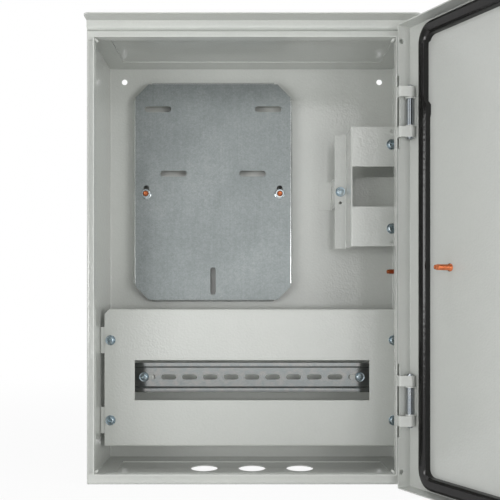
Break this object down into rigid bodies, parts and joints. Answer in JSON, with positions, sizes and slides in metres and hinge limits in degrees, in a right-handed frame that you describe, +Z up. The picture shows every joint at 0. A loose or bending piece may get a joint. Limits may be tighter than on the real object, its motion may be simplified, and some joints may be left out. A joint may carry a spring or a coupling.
{
  "type": "wall-mounted electrical enclosure",
  "caption": "Folded sheet-metal wall enclosure with a hinged gasketed door, rain hood, meter plate, breaker covers, perforated rail and cable entries.",
  "frame": {"origin": "on the back face, at the centre of the four wall holes", "axes": "+X to the right and +Y into the wall as one faces the open box, +Z up"},
  "size_m": [0.5113, 0.4396, 0.4922],
  "materials": {
    "grey_paint": "satin powder coat with a fine orange peel",
    "zinc": "bright zinc plate",
    "galvanised": "galvanised sheet",
    "copper_plate": "copper flash on steel",
    "foam": "matte closed-cell foam",
    "lock_metal": "satin chrome"
  },
  "bodies": {
    "enclosure": {"shell": "grey_paint", "top_panel": "grey_paint", "bottom_panel": "grey_paint", "rain_hood": "grey_paint", "mounting_plate": "galvanised", "plate_studs": "copper_plate", "plate_nuts": "zinc", "lower_cover": "grey_paint", "cover_tabs": "grey_paint", "cover_screws": "zinc", "din_rail": "galvanised", "rail_supports": "grey_paint", "rail_screws": "zinc", "breaker_cover": "grey_paint", "breaker_cover_tabs": "grey_paint", "breaker_cover_screws": "zinc", "aux_rail": "grey_paint", "wall_earth_stud": "copper_plate", "upper_hinge_leaf": "grey_paint", "lower_hinge_leaf": "grey_paint", "upper_hinge_pin": "zinc", "lower_hinge_pin": "zinc"},
    "door": {"door": "grey_paint", "door_gasket": "foam", "upper_hinge_clip": "grey_paint", "lower_hinge_clip": "grey_paint", "door_earth_stud": "copper_plate", "lock_housing": "lock_metal", "lock_nut": "zinc"},
    "lock": {"lock_core": "lock_metal", "lock_cam": "zinc", "lock_cam_screw": "zinc"}
  },
  "joints": [
    {"name": "door_hinge", "type": "hinge", "parent": "enclosure", "child": "door", "pos_m": [0.1635, -0.1438, 0], "axis": [0, 0, 1], "range_deg": [-120, 0]},
    {"name": "lock_turn", "type": "hinge", "parent": "door", "child": "lock", "pos_m": [0.31951, -0.40302, 0], "axis": [0.866, 0.5, 0], "range_deg": [0, 90]}
  ]
}
